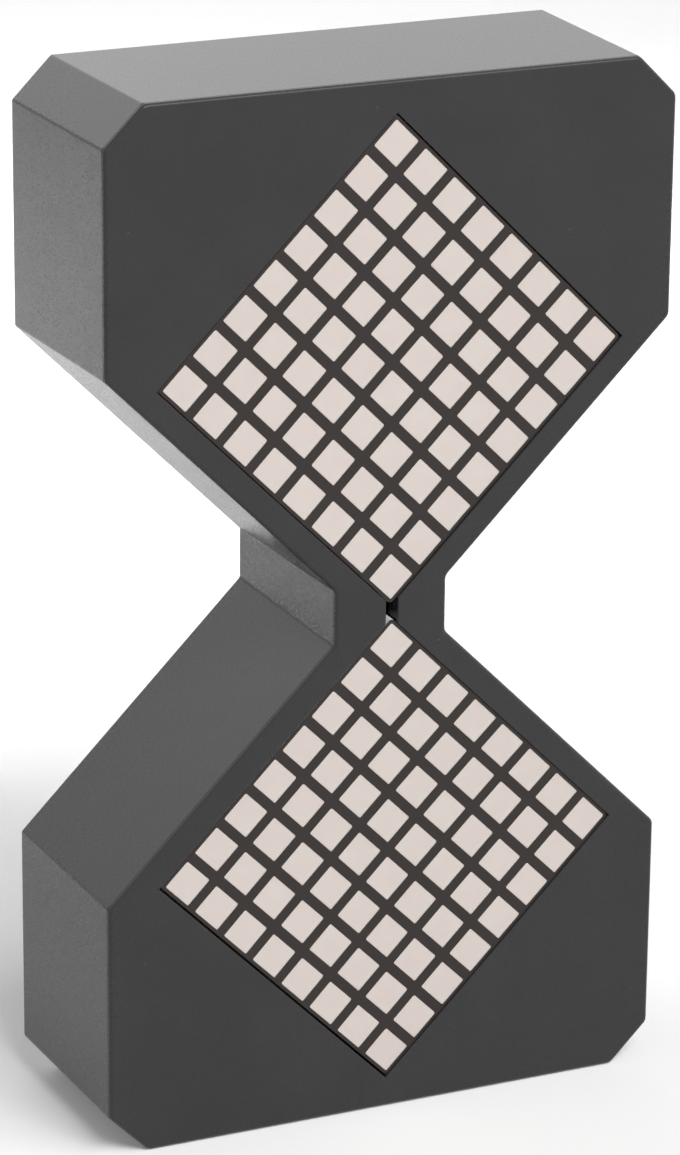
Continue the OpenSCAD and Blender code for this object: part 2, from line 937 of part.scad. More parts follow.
// The knob rests at the off end of its slot and has grip grooves across its top
module switch_knob() {
    knob_front = control_board_back + switch_height - knob_foot;
    knob_back = case_depth - knob_recess;
    groove_pitch = knob_length / (knob_grooves + 1);
    groove = groove_pitch / 2;
    knob_x = switch_at.x - knob_travel / 2;
    color(chip_black)
        difference() {
            slab(knob_front, knob_back)
                translate([knob_x, switch_at.y])
                    square([knob_length, knob_width], center = true);
            slab(knob_back - groove, knob_back + cut)
                for (k = [1 : knob_grooves])
                    translate([knob_x - knob_length / 2 + k * groove_pitch, switch_at.y])
                        square([groove, knob_width + cut], center = true);
        }
}

module button_switch() {
    hole_front = button_switch_back - plunger_foot - button_travel - screw_clearance;
    color(chip_black) {
        slab(control_board_back, hole_front)
            translate(button_at)
                square(button_switch_side, center = true);
        slab(hole_front, button_switch_back)
            translate(button_at)
                difference() {
                    square(button_switch_side, center = true);
                    circle(d = plunger_diameter + 2 * cap_gap);
                }
    }
}

module button_plunger() {
    color(cream)
        slab(button_switch_back - plunger_foot, cap_front)
            translate(button_at)
                circle(d = plunger_diameter);
}

module button_cap() {
    color(chip_black) {
        slab(cap_front, cap_front + cap_flange_thick)
            translate(button_at)
                circle(d = cap_diameter + 2 * cap_flange);
        slab(cap_front + cap_flange_thick, case_depth - cap_recess)
            translate(button_at)
                circle(d = cap_diameter);
    }
}

module battery_footprint() {
    translate(battery_at)
        rounded_rectangle(battery_width, battery_height, battery_radius, corner_steps);
}

module battery() {
    color(foil)
        slab(battery_front, battery_back)
            battery_footprint();
}

module battery_pad() {
    color(film_black)
        slab(battery_back, cover_front)
            battery_footprint();
}

// Two leads that run down through the neck to the plug
module battery_leads() {
    battery_foot = battery_at.y - battery_height / 2;
    color(lead_red)
        for (side = [-1, 1])
            translate([side * lead_spacing / 2, lead_depth - case_depth / 2, half_height + plug_top])
                cylinder(d = lead_diameter, h = battery_foot - plug_top);
}

module battery_plug() {
    color(cream)
        slab(plug_front, plug_front + plug_thick)
            translate([-plug_width / 2, plug_foot])
                square([plug_width, plug_top - plug_foot]);
}

// Shroud on the control board, open towards the neck
module battery_header() {
    header_back = control_board_back + header_height;
    color(cream)
        difference() {
            slab(control_board_back, header_back)
                translate(header_at)
                    square([header_width, header_length], center = true);
            slab(control_board_back + header_wall, header_back - header_wall)
                translate([header_at.x, header_at.y + header_wall])
                    square([header_cavity_width, header_length], center = true);
        }
}

// Sound holes: one in the middle and a ring around it
module sound_holes() {
    circle(d = sound_hole_diameter);
    for (k = [0 : sound_ring - 1])
        rotate(360 / sound_ring * k)
            translate([sound_hole_spacing, 0])
                circle(d = sound_hole_diameter);
}

module back_cover() {
    slot_length = knob_length + knob_travel + 2 * knob_gap;
    head_seat = case_depth - cover_head_recess - cover_head_height;
    color(case_grey)
        difference() {
            union() {
                slab(cover_front, case_depth)
                    polygon(case_outline(growth(case_depth), mouth_wall + cover_gap));
                slab(control_board_back, cover_front)
                    control_screws()
                        circle(d = board_boss_diameter);
            }
            slab(cover_front - cut, case_depth + cut) {
                cover_bosses()
                    circle(d = cover_screw_diameter + 2 * screw_clearance);
                translate(switch_at)
                    knob_slot();
                translate(button_at)
                    circle(d = cap_diameter + 2 * cap_gap);
                translate(port_at)
                    stadium(port_width + 2 * port_gap, port_height + 2 * port_gap);
                translate(buzzer_at)
                    sound_holes();
            }
            slab(head_seat, case_depth + cut)
                cover_bosses()
                    circle(d = cover_head_diameter + 2 * screw_clearance);
            slab(case_depth - dish_depth, case_depth + cut)
                translate(switch_at)
                    stadium(slot_length + 2 * dish_end_room, knob_width + 2 * dish_side_room);
            slab(control_board_back - cut, control_board_back + board_screw_grip + screw_clearance)
                control_screws()
                    circle(d = board_screw_diameter + 2 * screw_fit);
        }
}

module cover_screws() {
    head_back = case_depth - cover_head_recess;
    head_front = head_back - cover_head_height;
    color(steel) {
        slab(cover_front - cover_screw_grip, head_front)
            cover_bosses()
                circle(d = cover_screw_diameter);
        slab(head_front, head_back)
            cover_bosses()
                difference() {
                    circle(d = cover_head_diameter);
                    cross(cover_head_diameter);
                }
    }
}

front_panel();
panel_tape();
housing();
upper_matrix_shell();
upper_matrix_windows();
upper_matrix_board();
upper_matrix_pins();
lower_matrix_shell();
lower_matrix_windows();
lower_matrix_board();
lower_matrix_pins();
display_board();
display_board_screws();
driver_chips();
display_capacitors();
display_connector();
flat_cable();
control_connector();
control_board();
control_board_screws();
controller_chip();
charger_chip();
motion_sensor();
control_passives();
buzzer();
port_shell();
port_tongue();
switch_body();
switch_knob();
button_switch();
button_plunger();
button_cap();
battery();
battery_pad();
battery_leads();
battery_plug();
battery_header();
back_cover();
cover_screws();
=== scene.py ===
import math

import bmesh
import bpy
from mathutils import Matrix, Vector


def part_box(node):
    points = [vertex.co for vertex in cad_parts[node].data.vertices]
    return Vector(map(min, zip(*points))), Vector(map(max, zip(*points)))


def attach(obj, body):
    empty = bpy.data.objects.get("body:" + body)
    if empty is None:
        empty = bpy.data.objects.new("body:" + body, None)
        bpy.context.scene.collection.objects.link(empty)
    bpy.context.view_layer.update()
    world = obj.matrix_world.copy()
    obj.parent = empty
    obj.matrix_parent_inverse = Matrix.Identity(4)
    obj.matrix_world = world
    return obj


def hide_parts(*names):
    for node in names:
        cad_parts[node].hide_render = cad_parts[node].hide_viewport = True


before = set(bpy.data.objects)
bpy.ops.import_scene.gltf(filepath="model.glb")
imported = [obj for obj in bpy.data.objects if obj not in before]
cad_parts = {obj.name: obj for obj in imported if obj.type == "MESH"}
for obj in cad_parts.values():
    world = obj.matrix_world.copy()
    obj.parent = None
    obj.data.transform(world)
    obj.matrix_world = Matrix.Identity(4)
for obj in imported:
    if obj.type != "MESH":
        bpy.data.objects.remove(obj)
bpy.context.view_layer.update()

# Housing
# The body is an hourglass-shaped shell of charcoal ABS, moulded in one piece with drafted sides.
# Its front wall has two diamond openings joined by a slot at the neck, and its back is open.
# Round bosses inside take the screws of the display board and of the back cover.
MM = 0.001
panel_low, panel_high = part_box("front_panel")
housing_low, housing_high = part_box("housing")
display_low, display_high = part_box("upper_matrix_shell")
half_width = panel_high.x / MM
half_height = panel_high.z / MM / 2


def depth_of(y):
    """Millimetres back from the front of the panel."""
    return (y - panel_low.y) / MM


def rise_of(z):
    """Millimetres up from the middle of the neck."""
    return z / MM - half_height


# The visible case stays a hair inside the solid one
box_margin = 0.001
cover_thick = 2.0
case_depth = depth_of(housing_high.y)
housing_front = depth_of(housing_low.y)
cover_front = depth_of(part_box("back_cover")[1].y) - cover_thick
back_growth = (housing_high.x - panel_high.x) / MM - box_margin
display_side = display_high.x / MM * math.sqrt(2)
display_rise = rise_of((display_low.z + display_high.z) / 2)
wall = 2.0
front_wall = 1.5
mouth_wall = 1.0
slant_gap = 0.42
neck_height = 5.2
corner_chamfer = 3.7
corner_radius = 0.45
opening_gap = 0.22
slot_width = 1.2
slot_middle = 0.1
lower_opening_right = 0.065
lower_opening_drop = 0.05
upper_opening = (0.0, display_rise)
lower_opening = (lower_opening_right, -display_rise - lower_opening_drop)


def linear(colour):
    """Linear colour with alpha from an sRGB hex value."""
    shares = [int(colour[k:k + 2], 16) / 255 for k in (1, 3, 5)]
    return [v / 12.92 if v <= 0.04045 else ((v + 0.055) / 1.055) ** 2.4 for v in shares] + [1.0]


def add_node(tree, kind, inputs=None, links=None, **properties):
    """Adds a shader node, with values for its sockets and links from other nodes' outputs."""
    made = tree.nodes.new(kind)
    for name, value in properties.items():
        setattr(made, name, value)
    for name, value in (inputs or {}).items():
        made.inputs[name].default_value = value
    for name, source in (links or {}).items():
        tree.links.new(source, made.inputs[name])
    return made


def finish(name, colours, patch_mm, grain_mm, relief_mm, roughness, **sockets):
    """Material of two close colours in soft patches, with a fine grain in its relief and its gloss."""
    patch_detail = 3.0
    grain_detail = 2.0
    colour_stops = (0.3, 0.7)
    gloss_spread = 0.06
    relief_strength = 0.5
    material = bpy.data.materials.new(name)
    material.use_nodes = True
    tree = material.node_tree
    shader = tree.nodes["Principled BSDF"]
    spot = add_node(tree, "ShaderNodeTexCoord").outputs["Object"]
    patches = add_node(tree, "ShaderNodeTexNoise", {"Scale": 1 / (patch_mm * MM), "Detail": patch_detail},
                       {"Vector": spot})
    grain = add_node(tree, "ShaderNodeTexNoise", {"Scale": 1 / (grain_mm * MM), "Detail": grain_detail},
                     {"Vector": spot})
    ramp = add_node(tree, "ShaderNodeValToRGB", links={"Fac": patches.outputs["Fac"]})
    for stop, position, colour in zip(ramp.color_ramp.elements, colour_stops, colours):
        stop.position = position
        stop.color = linear(colour)
    gloss = add_node(tree, "ShaderNodeMapRange", {
        "To Min": roughness - gloss_spread, "To Max": roughness + gloss_spread},
        {"Value": grain.outputs["Fac"]})
    relief = add_node(tree, "ShaderNodeBump", {"Strength": relief_strength, "Distance": relief_mm * MM},
                      {"Height": grain.outputs["Fac"]})
    for socket, value in sockets.items():
        shader.inputs[socket.replace("_", " ")].default_value = value
    tree.links.new(ramp.outputs["Color"], shader.inputs["Base Color"])
    tree.links.new(gloss.outputs["Result"], shader.inputs["Roughness"])
    tree.links.new(relief.outputs["Normal"], shader.inputs["Normal"])
    return material


def overlay(material, share, colour, metal=False, raised_mm=0.0):
    """Lays another colour over a material where a share says, as metal or as raised lines if wanted."""
    tree = material.node_tree
    shader = tree.nodes["Principled BSDF"]
    under = shader.inputs["Base Color"].links[0].from_socket
    # Sockets 6 and 7 of the mix are its two colours, and output 2 is the mixed one
    mixed = add_node(tree, "ShaderNodeMix", {7: linear(colour)}, {"Factor": share, 6: under},
                     data_type="RGBA")
    tree.links.new(mixed.outputs[2], shader.inputs["Base Color"])
    if metal:
        tree.links.new(share, shader.inputs["Metallic"])
    if raised_mm:
        grain = shader.inputs["Normal"].links[0].from_socket
        step = add_node(tree, "ShaderNodeBump", {"Distance": raised_mm * MM},
                        {"Height": share, "Normal": grain})
        tree.links.new(step.outputs["Normal"], shader.inputs["Normal"])


# Charcoal ABS from a spark-eroded mould: an even matt grey that turns pale where it is seen at a low angle.
# The dark tint holds its gloss back where it is seen straight on.
# The real grain is about 0.05 mm, and it is drawn coarser so that it shows.
charcoal_abs = finish("charcoal_moulded_abs", ("#343334", "#373637"), patch_mm=6.0, grain_mm=0.22,
                      relief_mm=0.0028, roughness=0.28, IOR=1.5, Specular_Tint=[0.4, 0.4, 0.4, 1.0])
# Specks of pale dust lie here and there, a few to each side.
dust_spacing = 4.0
dust_radius = 0.07
dust_cover = 0.6
dust_share = dust_radius / dust_spacing
tree = charcoal_abs.node_tree
spot = add_node(tree, "ShaderNodeTexCoord").outputs["Object"]
dust = add_node(tree, "ShaderNodeTexVoronoi", {"Scale": 1 / (dust_spacing * MM)}, {"Vector": spot})
speck = add_node(tree, "ShaderNodeMapRange", {
    "From Min": dust_share / 2, "From Max": dust_share, "To Min": dust_cover, "To Max": 0.0},
    {"Value": dust.outputs["Distance"]})
overlay(charcoal_abs, speck.outputs["Result"], "#8c8a86")


def place(across, rise, depth):
    """Point in metres, from millimetres across, up from the neck and back from the front of the panel."""
    return Vector((across, depth - case_depth / 2, rise + half_height)) * MM


def hourglass(growth=0.0, inset=0.0):
    """Corners of the case outline, clockwise, moved out by the draft and in by an inset."""
    side = half_width + growth - inset
    end = half_height - inset
    chamfer = corner_chamfer - inset * (2 - math.sqrt(2))
    shoulder = (display_side / 2 + slant_gap + wall) * math.sqrt(2) - display_rise
    crossing = shoulder + (growth - inset) * math.sqrt(2)
    neck = shoulder + neck_height / 2 + growth - inset
    right = [(side - chamfer, end), (side, end - chamfer), (side, side - crossing), (neck, neck - crossing)]
    right += [(x, -rise) for x, rise in reversed(right)]
    return [Vector(p) for p in right + [(-x, rise) for x, rise in reversed(right)]]


def rounded(corners, radius, inset=0.0, steps=6):
    """Clockwise outline with an arc in each corner; an inset keeps the arcs on the same centres."""
    points = []
    for k, corner in enumerate(corners):
        back = (corners[k - 1] - corner).normalized()
        ahead = (corners[(k + 1) % len(corners)] - corner).normalized()
        outward = 1 if back.x * ahead.y - back.y * ahead.x > 0 else -1
        reach = radius - outward * inset
        half_angle = back.angle(ahead) / 2
        centre = corner + (back + ahead).normalized() * reach / math.sin(half_angle)
        start = corner + back * reach / math.tan(half_angle) - centre
        sweep = -outward * (math.pi - 2 * half_angle)
        points += [centre + Matrix.Rotation(sweep * j / steps, 2) @ start for j in range(steps + 1)]
    return points


def case_outline(growth=0.0, inset=0.0, radius=corner_radius):
    """Outline of the case with its small rounded corners."""
    return rounded(hourglass(growth, inset), radius, inset)


def openings(gap, edge=0.0):
    """Clockwise outline of the two diamonds, a gap wider than the displays, and the slot that joins them."""
    reach = display_side / math.sqrt(2) + (gap + edge) * math.sqrt(2)
    points = []
    for end, (across, rise) in ((1, upper_opening), (-1, lower_opening)):
        tip = rise - end * reach
        entry, leave = [slot_middle + side * end * (slot_width / 2 + edge) for side in (-1, 1)]
        points += [(entry, tip + end * abs(entry - across)), (across - end * reach, rise),
                   (across, rise + end * reach), (across + end * reach, rise),
                   (leave, tip + end * abs(leave - across))]
    return [Vector(p) for p in points]


def circle(across, rise, radius, count=48):
    """Clockwise outline of a circle."""
    turns = [-2 * math.pi * k / count for k in range(count)]
    return [Vector((across + radius * math.cos(t), rise + radius * math.sin(t))) for t in turns]


def quarter_round(radius, steps=3):
    """Pairs of inset and depth along a rounded edge, from the face to the side."""
    turns = [math.pi / 2 * k / steps for k in range(steps + 1)]
    return [(radius * (1 - math.sin(t)), radius * (1 - math.cos(t))) for t in turns]


def loop(mesh, outline, depth):
    """Points of a mesh along an outline at one depth."""
    return [mesh.verts.new(place(x, rise, depth)) for x, rise in outline]


def skin(mesh, loops):
    """Wall of quads from each loop of points to the next."""
    for near, far in zip(loops, loops[1:]):
        for k in range(len(near)):
            mesh.faces.new((near[k - 1], near[k], far[k], far[k - 1]))


def flat(mesh, *loops):
    """Flat face inside the first loop, with the other loops as holes in it."""
    pairs = [(points[k - 1], points[k]) for points in loops for k in range(len(points))]
    edges = [mesh.edges.get(pair) or mesh.edges.new(pair) for pair in pairs]
    bmesh.ops.triangle_fill(mesh, edges=edges, use_beauty=True)


def boss(mesh, at, radius, bore_radius, foot, top, bore_end):
    """Round boss from its foot to its top, with a blind bore that opens there."""
    base = loop(mesh, circle(*at, radius), foot)
    rim = [loop(mesh, circle(*at, radius), top), loop(mesh, circle(*at, bore_radius), top)]
    end = loop(mesh, circle(*at, bore_radius), bore_end)
    skin(mesh, [base, *rim, end])
    flat(mesh, base)
    flat(mesh, end)


def piece(name, mesh, materials, body, slot, *nodes):
    """Turns a built mesh into an object with even shading that stands for the named nodes."""
    sharp_angle = 38
    bmesh.ops.recalc_face_normals(mesh, faces=mesh.faces)
    data = bpy.data.meshes.new(name)
    mesh.to_mesh(data)
    mesh.free()
    for material in materials:
        data.materials.append(material)
    data.polygons.foreach_set("use_smooth", [True] * len(data.polygons))
    data.set_sharp_from_angle(angle=math.radians(sharp_angle))
    made = bpy.data.objects.new(name, data)
    bpy.context.scene.collection.objects.link(made)
    made.modifiers.new("even_shading", "WEIGHTED_NORMAL").keep_sharp = True
    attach(made, body)
    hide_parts(*nodes)


front_edge = 0.02
back_edge = 0.2
mouth_edge = 0.12
cavity_front = housing_front + front_wall
display_board_front = depth_of(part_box("display_board")[0].y)
cover_boss_radius = 3.0
cover_boss_gap = 1.2
cover_bore_radius = 1.15
cover_bore_depth = 8.0
board_boss_radius = 2.3
board_bore_radius = 0.95
board_bore_depth = 3.2
board_screw_spread = 12.0
board_screw_inset = 4.0
cover_boss_inset = wall + cover_boss_gap + cover_boss_radius
ends = [(side, end) for side in (-1, 1) for end in (-1, 1)]
cover_screw_places = [Vector((side * (half_width - cover_boss_inset), end * (half_height - cover_boss_inset)))
                      for side, end in ends]
board_screw_places = [Vector((side * board_screw_spread, end * (half_height - wall - board_screw_inset)))
                      for side, end in ends]
shell = bmesh.new()
face_loops = [loop(shell, case_outline(0, inset), housing_front + depth)
              for inset, depth in quarter_round(front_edge)]
back_loops = [loop(shell, case_outline(back_growth, inset), case_depth - depth)
              for inset, depth in reversed(quarter_round(back_edge))]
mouth_loops = [loop(shell, case_outline(growth, inset), depth) for growth, inset, depth in (
    (back_growth, mouth_wall - mouth_edge, case_depth),
    (back_growth, mouth_wall, case_depth - mouth_edge),
    (back_growth, mouth_wall, cover_front),
    (0, wall, cover_front),
    (0, wall, cavity_front))]
opening_loops = [loop(shell, openings(opening_gap), depth) for depth in (cavity_front, housing_front)]
skin(shell, face_loops + back_loops + mouth_loops)
flat(shell, mouth_loops[-1], opening_loops[0])
skin(shell, opening_loops)
flat(shell, opening_loops[-1], face_loops[0])
for at in cover_screw_places:
    boss(shell, at, cover_boss_radius, cover_bore_radius, cavity_front, cover_front,
         cover_front - cover_bore_depth)
for at in board_screw_places:
    boss(shell, at, board_boss_radius, board_bore_radius, cavity_front, display_board_front,
         display_board_front - board_bore_depth)
piece("housing_moulding", shell, [charcoal_abs], "case", "case_plastic", "housing")

# Front panel
# A thin sheet of the same charcoal ABS with a rounded front edge, bonded over the housing's front wall.
# Its rim reaches back past the edge of the adhesive film and leaves a very fine seam on the housing.
panel_thick = depth_of(panel_high.y)
panel_edge = 0.4
panel_edge_steps = 8
panel_corner = 0.9
panel_gap = 0.03
opening_edge = 0.1
seam = 0.08
rim_back = housing_front - seam
rim_width = 0.3
panel = bmesh.new()
panel_steps = quarter_round(panel_edge, panel_edge_steps)
panel_steps += [(0, rim_back), (rim_width, rim_back), (rim_width, panel_thick)]
panel_loops = [loop(panel, case_outline(0, inset, panel_corner), depth) for inset, depth in panel_steps]
hole_loops = [loop(panel, openings(panel_gap, edge), depth)
              for edge, depth in quarter_round(opening_edge) + [(0, panel_thick)]]
skin(panel, panel_loops)
skin(panel, hole_loops)
flat(panel, panel_loops[0], hole_loops[0])
flat(panel, panel_loops[-1], hole_loops[-1])
piece("panel_sheet", panel, [charcoal_abs], "case", "case_plastic", "front_panel")


def dress(material, *nodes):
    """Gives CAD nodes that keep their shape a material."""
    for name in nodes:
        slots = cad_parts[name].data.materials
        slots.clear()
        slots.append(material)


# Acrylic adhesive film: black and dull, and only the seam gives a glimpse of its edge.
adhesive_film = finish("black_acrylic_film", ("#121212", "#181818"), patch_mm=3.0, grain_mm=0.2,
                       relief_mm=0.005, roughness=0.6, IOR=1.47)
dress(adhesive_film, "panel_tape")

# Dot matrix displays
# Each display is a white polycarbonate shell with a printed dark face, 64 light wells cast full of resin,
# and a small board with two rows of pins. The two stand on their corners, tip to tip at the neck.
# The faces sag a little toward their middles, and the lower display sits slightly to the right.
display_front = depth_of(display_low.y)
display_back = depth_of(display_high.y)
board_recess = 1.2
well_back = display_back - board_recess
pitch = 4.0
window_side = 3.0
window_corner = 0.14
window_edge = 0.03
window_fit = 0.02
shell_draft = 0.07
shell_edge = 0.04
shell_corner = 0.35
shell_wall = 0.85
ink_depth = 0.07
face_sag = 0.27
sagging_depth = 0.5
seat_shift = {"upper": (0.0, 0.0), "lower": (0.16, -0.02)}
corner_steps = 4
dot_rows = 8
dot_places = [row - (dot_rows - 1) / 2 for row in range(dot_rows)]
dots = [(across, up) for across in dot_places for up in dot_places]
onto_corner = Matrix.Rotation(math.radians(45), 2)


def tilted(points, middle):
    """Points of a display turned onto its corner and moved to its place."""
    return [onto_corner @ Vector(p) + middle for p in points]


def square(half, across=0.0, up=0.0):
    """Corners of a square, clockwise."""
    return [Vector((across + x * half, up + y * half)) for x, y in ((1, 1), (1, -1), (-1, -1), (-1, 1))]


def window(dot, middle, inset):
    """Outline of one light window."""
    corners = square(window_side / 2 - inset, dot[0] * pitch, dot[1] * pitch)
    return tilted(rounded(corners, window_corner, inset, corner_steps), middle)


def display_outline(middle, draft=0.0, edge=0.0):
    """Outline of a display's shell, drawn in by its draft and by its rounded edge."""
    corners = square(display_side / 2 - draft - edge)
    return tilted(rounded(corners, shell_corner, edge, corner_steps), middle)


def sink(mesh, middle):
    """Lets the face of a display lie deeper toward its middle."""
    for vert in mesh.verts:
        if vert.co.y < place(0, 0, display_front + sagging_depth).y:
            offset = Vector((vert.co.x / MM, rise_of(vert.co.z))) - middle
            across, up = onto_corner.transposed() @ offset / (display_side / 2)
            vert.co.y += face_sag * MM * (1 - across ** 2) * (1 - up ** 2)


# Screen-printed ink on the display's face: a dark warm grey, a little duller than the case.
printed_face = finish("dark_printed_ink", ("#201815", "#221a17"), patch_mm=3.0, grain_mm=0.15,
                      relief_mm=0.004, roughness=0.45, IOR=1.45)
# Moulded polycarbonate of the shell where no ink covers it: plain white with a soft gloss.
white_shell = finish("white_moulded_polycarbonate", ("#eaeae6", "#eeeeea"), patch_mm=3.0, grain_mm=0.2,
                     relief_mm=0.004, roughness=0.4, IOR=1.58)
# Cast diffusing epoxy: warm white with a soft skin.
window_resin = finish("warm_white_cast_epoxy", ("#cdc2bc", "#cfc6bf"), patch_mm=2.5, grain_mm=0.18,
                      relief_mm=0.004, roughness=0.45, IOR=1.5)

for word, sign in (("upper", 1), ("lower", -1)):
    middle = Vector((0.0, sign * display_rise)) + Vector(seat_shift[word])
    body = bmesh.new()
    inked_loops = [loop(body, display_outline(middle, shell_draft, edge), display_front + depth)
                   for edge, depth in quarter_round(shell_edge) + [(0.0, ink_depth)]]
    sides = inked_loops[-1:] + [loop(body, display_outline(middle), display_back)]
    recess = rounded(square(display_side / 2 - shell_wall), shell_corner, steps=corner_steps)
    pocket = [loop(body, tilted(recess, middle), depth) for depth in (display_back, well_back)]
    fronts = [loop(body, window(dot, middle, -window_fit), display_front) for dot in dots]
    backs = [loop(body, window(dot, middle, -window_fit), well_back) for dot in dots]
    flat(body, inked_loops[0], *fronts)
    skin(body, inked_loops)
    inked = set(body.faces)
    skin(body, sides + pocket)
    flat(body, pocket[-1], *backs)
    for front, back in zip(fronts, backs):
        skin(body, [front, back])
    for face in body.faces:
        face.material_index = 0 if face in inked else 1
    sink(body, middle)
    piece(f"{word}_display_shell", body, [printed_face, white_shell], "case", "matrix_plastic",
          f"{word}_matrix_shell")
    resin = bmesh.new()
    window_steps = [(0.0, well_back), (0.0, display_front + window_edge), (window_edge, display_front)]
    for dot in dots:
        loops = [loop(resin, window(dot, middle, inset), depth) for inset, depth in window_steps]
        skin(resin, loops)
        flat(resin, loops[0])
        flat(resin, loops[-1])
    sink(resin, middle)
    piece(f"{word}_display_windows", resin, [window_resin], "case", "window_resin", f"{word}_matrix_windows")


def stripes(tree, axis, pitch_mm, line_mm):
    """Share of a pattern of straight lines, spaced along one axis."""
    softness = 0.05
    spot = add_node(tree, "ShaderNodeTexCoord").outputs["Object"]
    # A wave band of scale 1 repeats every tenth of pi
    scale = math.pi / 10 / (pitch_mm * MM)
    wave = add_node(tree, "ShaderNodeTexWave", {"Scale": scale}, {"Vector": spot}, bands_direction=axis)
    edge = 0.5 + 0.5 * math.cos(math.pi * line_mm / pitch_mm)
    lines = add_node(tree, "ShaderNodeMapRange", {"From Min": edge - softness, "From Max": edge + softness},
                     {"Value": wave.outputs["Fac"]})
    return lines.outputs["Result"]


# Solder mask on glass laminate: glossy green lacquer, lighter and a little proud where copper runs under it.
# The runs turn from upright to level from one field to the next.
trace_pitch = 1.0
trace_width = 0.35
trace_thick = 0.03
trace_field = 5.3
solder_mask = finish("green_solder_mask", ("#155032", "#1f6a44"), patch_mm=4.0, grain_mm=0.3,
                     relief_mm=0.006, roughness=0.3, IOR=1.5)
tree = solder_mask.node_tree
spot = add_node(tree, "ShaderNodeTexCoord").outputs["Object"]
fields = add_node(tree, "ShaderNodeTexChecker", {"Scale": 1 / (trace_field * MM)}, {"Vector": spot})
# Sockets 2 and 3 of the mix are its two numbers
runs = add_node(tree, "ShaderNodeMix", links={
    "Factor": fields.outputs["Fac"], 2: stripes(tree, "X", trace_pitch, trace_width),
    3: stripes(tree, "Z", trace_pitch, trace_width)})
overlay(solder_mask, runs.outputs[0], "#2b8455", raised_mm=trace_thick)
# Dipped tin on the pins: pale, soft metal.
tin_plate = finish("dipped_tin", ("#c8c8c4", "#d2d2ce"), patch_mm=0.8, grain_mm=0.1,
                   relief_mm=0.003, roughness=0.35, Metallic=1.0)
dress(solder_mask, "upper_matrix_board", "lower_matrix_board")
dress(tin_plate, "upper_matrix_pins", "lower_matrix_pins")

# Display board
# One laminate board behind both displays carries their drivers, and is screwed to the housing's short bosses.
# A folded ribbon cable joins it to the control board.
driver_width = 7.5
ceramic_body = 1.0
conductor_pitch = 1.0
conductor_width = 0.6
conductor_thick = 0.04


def tinned_ends(material, middle, reach):
    """Shows tin farther than a reach above and below the middle of a part, in both bulbs alike."""
    tree = material.node_tree
    spot = add_node(tree, "ShaderNodeTexCoord").outputs["Object"]
    axes = add_node(tree, "ShaderNodeSeparateXYZ", links={"Vector": spot})
    distance = axes.outputs["Z"]
    for start in (half_height, abs(middle)):
        offset = add_node(tree, "ShaderNodeMath", {1: start * MM}, {0: distance}, operation="SUBTRACT")
        apart = add_node(tree, "ShaderNodeMath", links={0: offset.outputs["Value"]}, operation="ABSOLUTE")
        distance = apart.outputs["Value"]
    end = add_node(tree, "ShaderNodeMath", {1: reach * MM}, {0: distance}, operation="GREATER_THAN")
    overlay(material, end.outputs["Value"], "#c8c8c4", metal=True)


def chip_epoxy(name, middle=0.0, body_width=None):
    """Transfer-moulded epoxy of a chip: black with a fine matt grain, and tinned leads beyond its body."""
    material = finish(name, ("#1d1d1f", "#222224"), patch_mm=1.5, grain_mm=0.1,
                      relief_mm=0.006, roughness=0.55, IOR=1.55)
    if body_width:
        tinned_ends(material, middle, body_width / 2)
    return material


def chip_ceramic(name, middle):
    """Fired ceramic of the small parts: tan and dull, with tinned ends."""
    material = finish(name, ("#9c7f55", "#a98b5e"), patch_mm=0.6, grain_mm=0.1,
                      relief_mm=0.004, roughness=0.5, IOR=1.6)
    tinned_ends(material, middle, ceramic_body / 2)
    return material


# Zinc plate on rolled steel: a cool grey metal with a soft shine.
zinc_plate = finish("zinc_plated_steel", ("#a4a6aa", "#b0b2b6"), patch_mm=0.8, grain_mm=0.08,
                    relief_mm=0.004, roughness=0.34, Metallic=1.0)
# Moulded nylon of the connectors: cream, with a faint waxy gloss.
cream_nylon = finish("cream_moulded_nylon", ("#e2dbca", "#e8e2d2"), patch_mm=2.0, grain_mm=0.15,
                     relief_mm=0.005, roughness=0.45, IOR=1.53)
# Laminated polyester of the ribbon: black film that stands up in paler ridges over its conductors.
ribbon_film = finish("black_laminated_polyester", ("#1a1918", "#201f1e"), patch_mm=1.0, grain_mm=0.2,
                     relief_mm=0.004, roughness=0.35, IOR=1.6)
conductors = stripes(ribbon_film.node_tree, "Z", conductor_pitch, conductor_width)
overlay(ribbon_film, conductors, "#33312f", raised_mm=conductor_thick)
dress(solder_mask, "display_board")
dress(zinc_plate, "display_board_screws")
dress(chip_epoxy("driver_epoxy", display_rise, driver_width), "driver_chips")
dress(chip_ceramic("display_capacitor_ceramic", display_rise), "display_capacitors")
dress(cream_nylon, "display_connector", "control_connector")
dress(ribbon_film, "flat_cable")

# Control board
# A second laminate board in the lower bulb holds the controller, charger, motion sensor and buzzer.
# Screws hold it to standoffs of the back cover.
controller_width = 4.4
charger_width = 1.6


def middle_of(node):
    """Middle of a node across and up from the neck, in millimetres."""
    low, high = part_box(node)
    return Vector(((low.x + high.x) / 2 / MM, rise_of((low.z + high.z) / 2)))


# Moulded ABS of the small black pieces: almost black, with a fine matt grain.
black_abs = finish("black_moulded_abs", ("#1c1c1e", "#212123"), patch_mm=2.0, grain_mm=0.15,
                   relief_mm=0.006, roughness=0.45, IOR=1.5)
dress(solder_mask, "control_board")
dress(zinc_plate, "control_board_screws")
dress(chip_epoxy("controller_epoxy", middle_of("controller_chip").y, controller_width), "controller_chip")
dress(chip_epoxy("charger_epoxy", middle_of("charger_chip").y, charger_width), "charger_chip")
dress(chip_epoxy("sensor_epoxy"), "motion_sensor")
dress(chip_ceramic("control_passive_ceramic", middle_of("control_passives").y), "control_passives")
dress(black_abs, "buzzer")

# Battery
# A flat cell in a heat-sealed foil pouch in the upper bulb, held off the back cover by a foam pad.
# Two insulated leads, one red and one black, run down through the neck to a plug on the control board.

